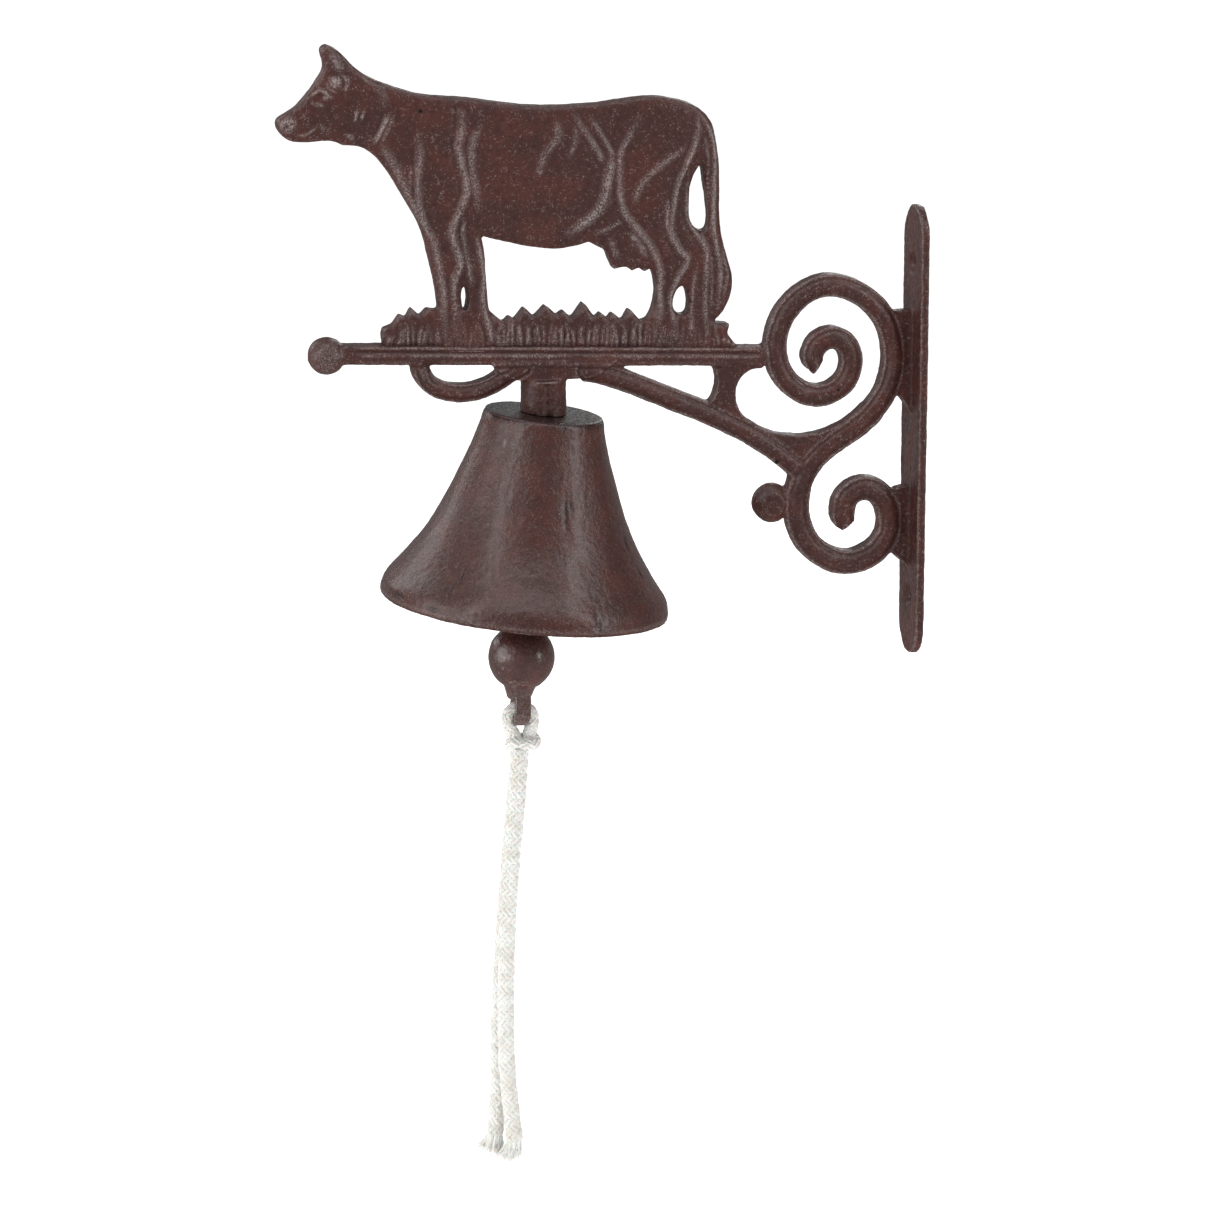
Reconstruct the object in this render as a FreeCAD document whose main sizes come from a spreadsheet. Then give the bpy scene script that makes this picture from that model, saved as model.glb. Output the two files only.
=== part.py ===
import FreeCAD, Part
import math
import os

# Cast iron wall bell with a cow on its arm, in millimetres.
# X runs along the arm and the wall is the plane X = 0, facing -X. Y is the depth and Z is up.
# The origin is the centre of the wall plate's back face.

V = FreeCAD.Vector
Y_AXIS = V(0, 1, 0)
doc = FreeCAD.newDocument("wall_bell")

SIZES = {
    # wall plate
    "plate_height": 161,
    "plate_width": 23.6,
    "plate_thickness": 3,
    "screw_spacing": 119,
    "screw_hole": 5,
    "screw_head": 9.2,
    # scrolls, brace, curl: a band with a low ridge along both faces
    "band_width": 8,
    "band_crest": 8.6,
    "band_edge": 5.4,
    "lower_band": 8.8,
    "gusset_depth": 6.4,
    "web_depth": 5,
    "curl_width": 6.4,
    "brace_width": 7.6,
    # bar along the top of the arm
    "bar_length": 151,
    "bar_height": 6.8,
    "bar_depth": 9,
    "bar_edge": 7,
    "bar_rise": 2.3,
    "finial_diameter": 13,
    "finial_reach": 5.4,
    "finial_drop": 0.6,
    "post_depth": 6.4,
    "bud_diameter": 14,
    "bud_depth": 9,
    "pad_depth": 10,
    # animal and grass, cast on the bar
    "cow_depth": 9,
    "cow_shift": 0.8,
    "grass_depth": 11,
    # boss and bell
    "boss_top": 15.6,
    "boss_bottom": 16.4,
    "boss_floor": 24,
    "boss_reach": 18,
    "boss_offset": 0.2,
    "bell_lean": 6.2,
    "bell_crown": 41.8,
    "bell_mouth": 100.6,
    "bell_height": 67.6,
    "bell_wall": 3,
    "crown_thickness": 4.5,
    # eye bolt, washer and nut
    "bolt_diameter": 5,
    "bolt_entry": 9,
    "bolt_drop": 30,
    "eye_ring": 10,
    "eye_wire": 3,
    "washer_outer": 15,
    "washer_thickness": 1.2,
    "nut_across": 8,
    "nut_thickness": 4,
    # link and clapper
    "link_lean": 11,
    "link_ring": 10.4,
    "link_wire": 2.6,
    "clapper_lean": 4.2,
    "rod_ring": 8.8,
    "rod_wire": 2.8,
    "rod_diameter": 4,
    "ball_diameter": 23.4,
    "ball_drop": 50,
    "rod_entry": 6,
    "neck_top": 14,
    "neck_foot": 8,
    "neck_start": 7,
    "neck_reach": 8,
    "lug_thickness": 5.6,
    "lug_width": 11.6,
    "lug_drop": 19,
    "lug_rise": 8,
    "lug_offset": 0.9,
    "lug_hole": 6.6,
    # cord
    "cord_diameter": 5.9,
    "hitch_width": 12.6,
    "hitch_depth": 11.6,
    "hitch_height": 6.6,
    "tuft_length": 9,
    "tuft_spread": 9,
    # play between pieces that move on each other
    "play": 0.3,
}

sheet = doc.addObject("Spreadsheet::Sheet", "sizes")
for row, (alias, value) in enumerate(SIZES.items(), start=1):
    sheet.set(f"A{row}", alias)
    sheet.set(f"B{row}", str(value))
    sheet.setAlias(f"B{row}", alias)
doc.recompute()

nodes = {}


def size(alias):
    """A driving dimension, read back from the sheet."""
    return float(sheet.get(alias))


def bind(obj, **cells):
    """Bind properties of obj to expressions on the sheet's aliases."""
    for prop, expression in cells.items():
        words = expression.split()
        text = " ".join(f"sizes.{word}" if word in SIZES else word for word in words)
        obj.setExpression(prop, text)
    return obj


def keep(label, obj):
    """Name obj as a sub-part."""
    doc.recompute()
    obj.Label = label
    nodes[label] = obj
    return obj


def leaning(point, degrees):
    """The place of something at point whose lower end leans towards -X."""
    return FreeCAD.Placement(point, FreeCAD.Rotation(Y_AXIS, degrees))


def below(point, degrees, drop):
    """The point that lies drop below point along an axis leaning by degrees."""
    lean = math.radians(degrees)
    return point + V(-math.sin(lean), 0, -math.cos(lean)) * drop


# Outlines in the plane of the arm, as (x, z)

def smooth(points):
    """One curve through points of the arm's plane, in a sketch's own coordinates."""
    curve = Part.BSplineCurve()
    curve.interpolate([V(x, z, 0) for x, z in points])
    return curve


def straight(points):
    """Straight edges from each point to the next."""
    return [Part.LineSegment(V(*a, 0), V(*b, 0)) for a, b in zip(points, points[1:])]


def closed_curve(points):
    """One smooth closed curve through points."""
    curve = Part.BSplineCurve()
    curve.interpolate([V(x, z, 0) for x, z in points], PeriodicFlag=True)
    return curve


def sketch(body, role, curves):
    """A sketch of curves on one of the body's own origin planes."""
    plane = next(f for f in body.Origin.OriginFeatures if f.Role == role)
    drawn = body.newObject("Sketcher::SketchObject", "Outline")
    drawn.AttachmentSupport = (plane, [""])
    drawn.MapMode = "FlatFace"
    drawn.addGeometry(curves, False)
    return drawn


def padded(name, role, curves, depth, midplane=True):
    """A body with one pad of the outline; depth is an expression."""
    body = doc.addObject("PartDesign::Body", name)
    pad = body.newObject("PartDesign::Pad", "Pad")
    pad.Profile = sketch(body, role, curves)
    pad.Midplane = midplane
    bind(pad, Length=depth)
    doc.recompute()
    return body


def revolved(name, curves):
    """A body turned about its own Z axis from a half outline in (r, z)."""
    body = doc.addObject("PartDesign::Body", name)
    turn = body.newObject("PartDesign::Revolution", "Turn")
    turn.Profile = sketch(body, "XZ_Plane", curves)
    axis = next(f for f in body.Origin.OriginFeatures if f.Role == "Z_Axis")
    turn.ReferenceAxis = (axis, [""])
    turn.Angle = 360
    doc.recompute()
    return body


def cylinder(name, place, radius, length):
    """A cylinder from place along its own Z, with sizes bound to the sheet."""
    made = bind(doc.addObject("Part::Cylinder", name), Radius=radius, Height=length)
    made.Placement = place
    return made


def torus(name, place, ring, wire):
    """A ring of round wire in the plane of place, with sizes bound to the sheet."""
    made = bind(doc.addObject("Part::Torus", name), Radius1=ring, Radius2=wire)
    made.Placement = place
    return made


def cut(name, base, *tools):
    """base without the tools."""
    for number, tool in enumerate(tools, start=1):
        step = doc.addObject("Part::Cut", f"{name}_{number}")
        step.Base, step.Tool = base, tool
        step.Refine = True
        base = step
    doc.recompute()
    return base


def fused(name, *shapes):
    """One solid of several."""
    made = doc.addObject("Part::MultiFuse", name)
    made.Shapes = list(shapes)
    made.Refine = True
    doc.recompute()
    return made


# Bands of the bracket

def ridge_section(width, crest, edge):
    """Half widths and half depths of a band that is deepest along its middle."""
    half = width / 2
    return [(half, edge / 2), (0, crest / 2), (-half, edge / 2),
            (-half, -edge / 2), (0, -crest / 2), (half, -edge / 2)]


def band(name, route, width):
    """A ridged band along a smooth curve through route."""
    curve = Part.BSplineCurve()
    curve.interpolate([V(x, 0, z) for x, z in route])
    start = curve.value(curve.FirstParameter)
    along = V(*curve.tangent(curve.FirstParameter)[0]).normalize()
    across = along.cross(Y_AXIS)
    corners = [start + across * n + Y_AXIS * y
               for n, y in ridge_section(size(width), size("band_crest"), size("band_edge"))]
    pipe = Part.BRepOffsetAPI.MakePipeShell(Part.Wire([curve.toShape()]))
    pipe.setBiNormalMode(Y_AXIS)
    pipe.add(Part.makePolygon(corners + corners[:1]), False, False)
    pipe.build()
    pipe.makeSolid()
    made = doc.addObject("Part::Feature", name)
    made.Shape = pipe.shape()
    return made


UPPER_SCROLL = [
    (-37.6, 24.0), (-39.0, 29.2), (-36.6, 33.2), (-31.4, 34.6), (-26.4, 31.2), (-25.0, 25.2),
    (-27.4, 18.8), (-33.0, 15.0), (-40.0, 14.6), (-46.6, 18.4), (-51.4, 25.6), (-52.2, 36.0),
    (-46.6, 47.0), (-35.2, 53.2), (-23.2, 50.2), (-13.8, 41.8), (-9.8, 29.4), (-11.2, 17.8),
    (-17.0, 8.2),
]
SCROLL_NECK = [(-17.0, 8.2), (-24.2, 2.0), (-33.2, -3.8), (-40.2, -10.6), (-43.8, -20.0)]
LOWER_SCROLL = [
    (-43.8, -20.0), (-44.0, -28.4), (-41.2, -36.6), (-35.2, -42.8), (-26.2, -46.2),
    (-17.6, -44.0), (-11.4, -37.6), (-10.4, -29.4), (-13.6, -22.6), (-20.0, -19.6),
    (-26.0, -22.6), (-27.4, -28.6), (-26.2, -33.2),
]
ARM_BRACE = [(-121.0, 26.4), (-107.6, 22.7), (-93.6, 16.7), (-79.2, 10.6), (-64.8, 3.4),
             (-53.8, -3.6), (-44.6, -11.0)]
FRONT_CURL = [(-178.4, 32.6), (-175.8, 24.8), (-171.0, 21.4), (-163.4, 20.2), (-155.3, 21.6),
              (-148.0, 25.6), (-142.4, 28.4)]


def wall_plate():
    half_z = size("plate_height") / 2
    half_y = size("plate_width") / 2
    up = half_z - half_y
    curves = [
        Part.LineSegment(V(-half_y, up, 0), V(-half_y, -up, 0)),
        Part.Arc(V(-half_y, -up, 0), V(0, -half_z, 0), V(half_y, -up, 0)),
        Part.LineSegment(V(half_y, -up, 0), V(half_y, up, 0)),
        Part.Arc(V(half_y, up, 0), V(0, half_z, 0), V(-half_y, up, 0)),
    ]
    blank = padded("PlateBlank", "YZ_Plane", curves, "plate_thickness", midplane=False)
    blank.Placement.Base = V(-size("plate_thickness"), 0, 0)
    sinks = []
    into_wall = FreeCAD.Rotation(Y_AXIS, 90)
    for name, side in (("Top", 1), ("Bottom", -1)):
        front = V(-size("plate_thickness"), 0, side * size("screw_spacing") / 2)
        sinks.append(cylinder(f"{name}Hole", FreeCAD.Placement(front, into_wall),
                              "screw_hole / 2", "plate_thickness"))
        cone = bind(doc.addObject("Part::Cone", f"{name}Sink"), Radius1="screw_head / 2",
                    Radius2="screw_hole / 2", Height="( screw_head - screw_hole ) / 2")
        cone.Placement = FreeCAD.Placement(front, into_wall)
        sinks.append(cone)
    keep("wall_plate", cut("Plate", blank, *sinks))


def scrolls():
    keep("upper_scroll", band("UpperBand", UPPER_SCROLL, "band_width"))
    keep("lower_scroll", band("LowerBand", LOWER_SCROLL, "lower_band"))
    neck = band("NeckBand", SCROLL_NECK, "lower_band")
    keep("scroll_neck", cut("Neck", neck, nodes["upper_scroll"], nodes["lower_scroll"]))


def webs():
    """Thin webs that tie the two scrolls to the plate."""
    front = -size("plate_thickness")
    outlines = {
        "upper_web": ([(front, 43.5), (-9.5, 43.5)], [(-9.5, 43.5), (-11.0, 27.0), (-7.5, 12.5)],
                      [(-7.5, 12.5), (front, 6.5), (front, 43.5)]),
        "lower_web": ([(front, -19.0), (-8.5, -19.8)],
                      [(-8.5, -19.8), (-11.0, -33.0), (-8.5, -44.6)],
                      [(-8.5, -44.6), (front, -49.0), (front, -19.0)]),
    }
    for label, (top, side, foot) in outlines.items():
        curves = straight(top) + [smooth(side)] + straight(foot)
        blank = padded(label + "_blank", "XZ_Plane", curves, "web_depth")
        scroll = nodes["upper_scroll" if label == "upper_web" else "lower_scroll"]
        keep(label, cut(label + "_cut", blank, scroll))


BAR_END = V(-205, 0, 35.1)
BUD_CENTRE = V(-53.2, 0, -23.6)
BUD_SIDE = -48.8


def top_bar():
    half_y = size("bar_depth") / 2
    half_edge = size("bar_edge") / 2
    half_z = size("bar_height") / 2
    section = [(half_edge, half_z), (half_y, 0), (half_edge, -half_z),
               (-half_edge, -half_z), (-half_y, 0), (-half_edge, half_z), (half_edge, half_z)]
    blank = padded("BarBlank", "YZ_Plane", straight(section), "bar_length", midplane=False)
    blank.Placement = leaning(BAR_END, size("bar_rise"))
    keep("top_bar", cut("Bar", blank, nodes["upper_scroll"]))


def bar_finial():
    ball = bind(doc.addObject("Part::Sphere", "FinialBall"), Radius="finial_diameter / 2")
    ball.Placement.Base = leaning(BAR_END, size("bar_rise")).multVec(
        V(-size("finial_reach"), 0, -size("finial_drop")))
    keep("bar_finial", cut("Finial", ball, nodes["top_bar"]))


def bell_boss():
    """The boss under the arm; its foot is square to the leaning bell and takes the bolt."""
    boss = bind(doc.addObject("Part::Cone", "BossBlank"), Radius1="boss_bottom / 2",
                Radius2="boss_top / 2", Height="boss_reach")
    boss.Placement.Base = V(CROWN.x - size("boss_offset"), 0, size("boss_floor") - size("boss_reach"))
    under = bind(doc.addObject("Part::Box", "BelowCrown"), Length="2 * boss_bottom",
                 Width="2 * boss_bottom", Height="boss_reach")
    under.Placement = leaning(CROWN, size("bell_lean"))
    corner = V(-size("boss_bottom"), -size("boss_bottom"), -size("boss_reach"))
    under.Placement.Base = under.Placement.multVec(corner)
    bore = cylinder("BossBore", leaning(CROWN, size("bell_lean")), "bolt_diameter / 2", "bolt_entry")
    keep("bell_boss", cut("Boss", boss, under, bore))


def boss_pad():
    """The thickened stretch under the bar that carries the boss."""
    floor = size("boss_floor")
    curves = [smooth([(-154, 31), (-150, 26.6), (-143, floor)]),
              *straight([(-143, floor), (-124, floor)]),
              smooth([(-124, floor), (-117, 25.2), (-110, 30)]),
              *straight([(-110, 30), (-154, 31)])]
    blank = padded("PadBlank", "XZ_Plane", curves, "pad_depth")
    keep("boss_pad", cut("Pad", blank, nodes["top_bar"]))


def braces():
    brace = band("BraceBand", ARM_BRACE, "brace_width")
    keep("arm_brace", cut("Brace", brace, nodes["top_bar"], nodes["boss_pad"],
                          nodes["scroll_neck"], nodes["upper_scroll"], nodes["lower_scroll"]))
    curl = band("CurlBand", FRONT_CURL, "curl_width")
    keep("front_curl", cut("Curl", curl, nodes["top_bar"], nodes["boss_pad"]))
    neighbours = [nodes[label] for label in ("top_bar", "arm_brace", "upper_scroll", "scroll_neck")]
    post_curves = [smooth([(-78.6, 29), (-73.8, 22.8), (-74.6, 16), (-78.4, 11.4)]),
                   *straight([(-78.4, 11.4), (-64.4, 4), (-60.6, 6.2)]),
                   smooth([(-60.6, 6.2), (-66.4, 12.4), (-66.2, 20), (-57.4, 24.8)]),
                   *straight([(-57.4, 24.8), (-57.4, 29), (-78.6, 29)])]
    post = padded("PostBlank", "XZ_Plane", post_curves, "post_depth")
    keep("arm_post", cut("Post", post, *neighbours))
    gusset_curves = [smooth([(-60.6, 6), (-53, 2), (-44.8, 0.6), (-37.5, 1), (-29.6, 4)]),
                     *straight([(-29.6, 4), (-36, -6), (-50, -6), (-60.6, 6)])]
    gusset = padded("GussetBlank", "XZ_Plane", gusset_curves, "gusset_depth")
    keep("scroll_gusset", cut("Gusset", gusset, nodes["arm_brace"], nodes["scroll_neck"],
                              nodes["arm_post"]))


def scroll_bud():
    """The bud where the brace runs into the lower scroll."""
    half = size("bud_diameter") / 2
    rise = size("bud_depth") / 2
    side = [(0, rise), (half * 0.55, rise), (half, rise * 0.3)]
    other_side = [(r, -y) for r, y in reversed(side)]
    bud = revolved("BudBlank", straight(side + other_side + side[:1]))
    bud.Placement = FreeCAD.Placement(BUD_CENTRE, FreeCAD.Rotation(V(1, 0, 0), 90))
    beyond = bind(doc.addObject("Part::Box", "BeyondBud"), Length="bud_diameter",
                  Width="2 * bud_depth", Height="2 * bud_diameter")
    beyond.Placement.Base = V(BUD_SIDE, -size("bud_depth"), BUD_CENTRE.z - size("bud_diameter"))
    keep("scroll_bud", cut("Bud", bud, beyond))


GRASS_TOPS = [
    (-191.6, 41), (-191, 43.6), (-187.6, 44.6), (-185.2, 48.2), (-182.8, 47.2), (-181, 50.4),
    (-177.9, 47.4), (-175.6, 50), (-168, 48.6), (-160, 47.6), (-154, 48.4), (-149, 44.2),
    (-146.8, 46.4), (-145, 45), (-141.7, 49.2), (-138.2, 45.6), (-134.3, 49.8), (-130, 46),
    (-127.8, 47.6), (-125, 44.8), (-121, 50.2), (-116.7, 44.8), (-114.8, 46.6), (-112.4, 44.2),
    (-110.6, 46.4), (-107.2, 43.2), (-104.8, 47.6), (-100.8, 43), (-92, 45), (-84, 44),
    (-77, 43.4), (-73.9, 41.6), (-69.2, 41.2), (-70.2, 37.8), (-66.3, 33),
]


def grass_strip():
    curves = straight([GRASS_TOPS[-1], (-66.3, 31.4), (-190.6, 35.8), GRASS_TOPS[0]])
    curves += straight(GRASS_TOPS)
    blank = padded("GrassBlank", "XZ_Plane", curves, "grass_depth")
    keep("grass_strip", cut("Grass", blank, nodes["top_bar"]))


COW_BACK = [
    (-208, 141), (-203.6, 138.2), (-198.6, 133), (-191.6, 128.6), (-185, 126), (-175.5, 123.3),
    (-164, 122.2), (-151.5, 120.4), (-138.5, 118.8), (-122, 118.6), (-107.5, 119.8),
    (-98, 120.8), (-86, 119.2), (-80, 116.6), (-76, 112.6), (-73.6, 105), (-72.4, 93),
    (-72.2, 77), (-70.4, 67.6), (-67.6, 56), (-68.4, 50.6), (-74.5, 42),
]
COW_HIND_LEG = [(-99, 42), (-95.6, 48), (-94.9, 56), (-96.4, 61.6)]
COW_UDDER = [(-96.4, 61.6), (-98.8, 60.2), (-100.8, 61.9), (-103.2, 60.8), (-105.4, 62.3),
             (-109.8, 61.6), (-110.8, 63.8), (-112.4, 68), (-118.4, 71.4)]
COW_BELLY = [(-118.4, 71.4), (-131, 69.4), (-147, 72.2), (-156, 74.6)]
COW_FORELEG = [(-156, 74.6), (-154.4, 62), (-153.8, 52), (-150.6, 42)]
COW_CHEST = [(-170.6, 42), (-171, 50), (-171.8, 57), (-173.8, 66), (-176.2, 76), (-182.5, 88.6),
             (-189.4, 99.6), (-194, 104.4), (-203.4, 106.8)]
COW_JAW = [(-203.4, 106.8), (-211.4, 108.6), (-219, 108.4), (-225.4, 113)]
COW_FACE = [(-225.4, 113), (-225.4, 116), (-220.8, 119), (-216.6, 122.6), (-211, 130),
            (-209.4, 134.6), (-210.4, 139.6), (-208, 141)]
TAIL_GAP = [(-78.6, 98), (-77.2, 87.6), (-78.8, 74), (-81.4, 75.6), (-83, 85), (-81.8, 92.6)]
HIND_GAP = [(-85.2, 55), (-83.2, 49), (-84.4, 45.2), (-88, 46.4)]
FORE_GAP = [(-162, 57.4), (-160.9, 53), (-161.8, 48.8), (-163, 53)]


def cow_figure():
    """The animal in side view, standing in the grass, with daylight between its legs."""
    curves = [
        smooth(COW_BACK), *straight([COW_BACK[-1], COW_HIND_LEG[0]]),
        smooth(COW_HIND_LEG), *straight(COW_UDDER), smooth(COW_BELLY), smooth(COW_FORELEG),
        *straight([COW_FORELEG[-1], COW_CHEST[0]]),
        smooth(COW_CHEST), smooth(COW_JAW), smooth(COW_FACE),
    ]
    gaps = [closed_curve(gap) for gap in (TAIL_GAP, HIND_GAP, FORE_GAP)]
    blank = padded("CowBlank", "XZ_Plane", curves + gaps, "cow_depth")
    blank.Placement.Base.x = -size("cow_shift")
    keep("cow_figure", cut("Cow", blank, nodes["grass_strip"]))


CROWN = V(-134.65, 0, 11.8)
BOLT_PIVOT = below(CROWN, size("bell_lean"), size("bolt_drop"))
LINK_REACH = size("link_ring") - size("link_wire") / 2 - size("eye_wire") / 2 - size("play")
LINK_PIVOT = below(BOLT_PIVOT, size("link_lean"), LINK_REACH)
BALL_CENTRE = below(LINK_PIVOT, size("clapper_lean"), size("ball_drop"))
LUG_PIVOT = below(BALL_CENTRE, size("clapper_lean"), size("lug_drop")) + V(size("lug_offset"), 0, 0)


def bell():
    """A flared bell, turned about its own axis from the crown's centre down."""
    crown = size("bell_crown") / 2
    mouth = size("bell_mouth") / 2
    deep = size("bell_height")
    wall = size("bell_wall")
    roof = size("crown_thickness")
    outside = [(crown + 0.3, -2), (crown + 1.1, -5.7), (crown + 3.9, -15), (crown + 9.8, -31),
               (crown + 15.3, -42.8), (crown + 22.2, -53.4), (mouth - 1.4, -61),
               (mouth, -65.1), (mouth - 0.9, -deep)]
    inside = [(mouth - wall - 0.6, -deep), (mouth - wall - 3.2, -60), (crown + 18, -51.8),
              (crown + 11.4, -41.8), (crown + 5.8, -29.8), (crown + 0.4, -14.8),
              (crown - 2.4, -roof - 2), (crown - 5, -roof)]
    curves = [
        *straight([(size("bolt_diameter") / 2, -roof), (size("bolt_diameter") / 2, 0),
                   (crown - 1.6, 0)]),
        smooth([(crown - 1.6, 0), (crown - 0.4, -0.6), (crown + 0.3, -2)]),
        smooth(outside), *straight([outside[-1], inside[0]]), smooth(inside),
        *straight([inside[-1], (size("bolt_diameter") / 2, -roof)]),
    ]
    turned = revolved("BellTurned", curves)
    turned.Placement = leaning(CROWN, size("bell_lean"))
    keep("bell", turned)


def on_bolt(drop):
    """The place on the bolt's axis drop below the crown."""
    return leaning(below(CROWN, size("bell_lean"), drop), size("bell_lean"))


def hanger():
    """Washer, nut and eye bolt that clamp the bell up against the boss."""
    roof, thin, nut = (size(word) for word in ("crown_thickness", "washer_thickness", "nut_thickness"))
    bolt = size("bolt_diameter") / 2
    disc = cylinder("WasherDisc", on_bolt(roof + thin), "washer_outer / 2", "washer_thickness")
    hole = cylinder("WasherHole", on_bolt(roof + thin), "bolt_diameter / 2", "washer_thickness")
    keep("crown_washer", cut("Washer", disc, hole))

    corner = size("nut_across") / 2 / math.cos(math.radians(30))
    corners = [(corner * math.cos(math.radians(60 * i)), corner * math.sin(math.radians(60 * i)))
               for i in range(7)]
    hexagon = padded("NutBlank", "XY_Plane",
                     straight(corners) + [Part.Circle(V(0, 0, 0), V(0, 0, 1), bolt)],
                     "nut_thickness", midplane=False)
    hexagon.Placement = on_bolt(roof + thin + nut)
    keep("hanger_nut", hexagon)

    eye_centre = size("bolt_drop") - size("eye_ring") / 2
    shank_end = eye_centre - size("eye_ring") / 2 + size("eye_wire") / 4
    shank = cylinder("BoltShank", on_bolt(shank_end), "bolt_diameter / 2",
                     "bolt_drop - eye_ring + eye_wire / 4 + bolt_entry")
    facing_x = FreeCAD.Rotation(Y_AXIS, 90)
    place = on_bolt(eye_centre)
    place.Rotation = place.Rotation * facing_x
    eye = torus("BoltEye", place, "eye_ring / 2", "eye_wire / 2")
    keep("hanger_bolt", fused("Bolt", shank, eye))


def clapper_link():
    """A closed ring through the bolt's eye; it lies in the plane of the arm."""
    centre = below(BOLT_PIVOT, size("link_lean"), LINK_REACH - size("link_ring") / 2)
    place = leaning(centre, size("link_lean"))
    place.Rotation = place.Rotation * FreeCAD.Rotation(V(1, 0, 0), 90)
    keep("clapper_link", torus("Link", place, "link_ring / 2", "link_wire / 2"))


def clapper():
    """A rod with an eye on the link, and a cast ball with a flat lug under it."""
    lean = size("clapper_lean")
    clear = size("rod_ring") / 2 - size("rod_wire") / 2 - size("link_wire") / 2 - size("play")
    eye_place = leaning(below(LINK_PIVOT, lean, clear), lean)
    eye_place.Rotation = eye_place.Rotation * FreeCAD.Rotation(Y_AXIS, 90)
    eye = torus("RodEye", eye_place, "rod_ring / 2", "rod_wire / 2")
    rod_top = clear + size("rod_ring") / 2 - size("rod_wire") / 4
    rod_foot = size("ball_drop") - size("ball_diameter") / 2 + size("rod_entry")
    rod = doc.addObject("Part::Cylinder", "Rod")
    bind(rod, Radius="rod_diameter / 2")
    rod.Height = rod_foot - rod_top
    rod.Placement = leaning(below(LINK_PIVOT, lean, rod_foot), lean)
    keep("clapper_rod", fused("RodWithEye", eye, rod))

    ball = bind(doc.addObject("Part::Sphere", "Ball"), Radius="ball_diameter / 2")
    ball.Placement = leaning(BALL_CENTRE, lean)
    neck = bind(doc.addObject("Part::Cone", "Neck"), Radius1="neck_foot / 2",
                Radius2="neck_top / 2", Height="neck_reach")
    neck.Placement = leaning(below(BALL_CENTRE, lean, size("neck_start") + size("neck_reach")), lean)
    half = size("lug_width") / 2
    top = size("lug_rise")
    lug_curves = [
        *straight([(-half, 0), (-half * 0.7, top), (half * 0.7, top), (half, 0)]),
        Part.Arc(V(half, 0, 0), V(0, -half, 0), V(-half, 0, 0)),
        Part.Circle(V(0, 0, 0), V(0, 0, 1), size("lug_hole") / 2),
    ]
    lug = padded("Lug", "YZ_Plane", lug_curves, "lug_thickness")
    lug.Placement = leaning(LUG_PIVOT, lean)
    whole = fused("BallAndLug", ball, neck, lug)
    bore = cylinder("BallBore", leaning(below(LINK_PIVOT, lean, rod_foot), lean),
                    "rod_diameter / 2", "ball_diameter")
    keep("clapper_ball", cut("ClapperBall", whole, bore))


# Cord: two legs of one doubled length, hitched through the lug

FRONT_LEG = [(-144.0, -3.0, -107.4), (-144.9, -3.0, -123), (-147.0, -3.1, -143),
             (-148.9, -3.0, -166), (-149.7, -3.2, -190), (-149.9, -3.1, -213),
             (-149.0, -3.4, -235), (-146.8, -3.2, -252.6)]
BACK_LEG = [(-143.4, 3.0, -107.4), (-144.6, 3.1, -124), (-146.7, 3.0, -145),
            (-148.6, 3.2, -168), (-150.2, 3.1, -192), (-151.4, 3.4, -214),
            (-151.0, 3.1, -234), (-152.8, 3.3, -252.0)]


def tube(name, route):
    """Round cord along straight runs with a tangent arc at each point of the route."""
    points = [V(*p) for p in route]
    edges = []
    radii = []
    last = points[0]
    for before, corner, after in zip(points, points[1:], points[2:]):
        back, on = (before - corner), (after - corner)
        reach = 0.45 * min(back.Length, on.Length)
        turn = math.pi - back.getAngle(on)
        radii.append(reach / math.tan(turn / 2))
        first = corner + back.normalize() * reach
        third = corner + on.normalize() * reach
        centre = corner + (first - corner + third - corner).normalize() * math.hypot(reach, radii[-1])
        middle = centre + (corner - centre).normalize() * radii[-1]
        edges += [Part.LineSegment(last, first).toShape(), Part.Arc(first, middle, third).toShape()]
        last = third
    edges.append(Part.LineSegment(last, points[-1]).toShape())
    path = Part.Wire(edges)
    radius = size("cord_diameter") / 2
    ring = Part.Wire([Part.Circle(points[0], points[1] - points[0], radius).toShape()])
    made = doc.addObject("Part::Feature", name)
    made.Shape = path.makePipeShell([ring], True, False)
    expected = math.pi * radius ** 2 * path.Length
    print(f"{name}: length {path.Length:.1f}, smallest radius {min(radii):.0f}, "
          f"volume {made.Shape.Volume:.0f} for {expected:.0f}")
    return made


def tuft(name, route):
    """The frayed end of a leg, as a plain flared cone."""
    end, before = V(*route[-1]), V(*route[-2])
    made = bind(doc.addObject("Part::Cone", name), Radius1="cord_diameter / 2",
                Radius2="tuft_spread / 2", Height="tuft_length")
    made.Placement = FreeCAD.Placement(end, FreeCAD.Rotation(V(0, 0, 1), end - before))
    return made


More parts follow.
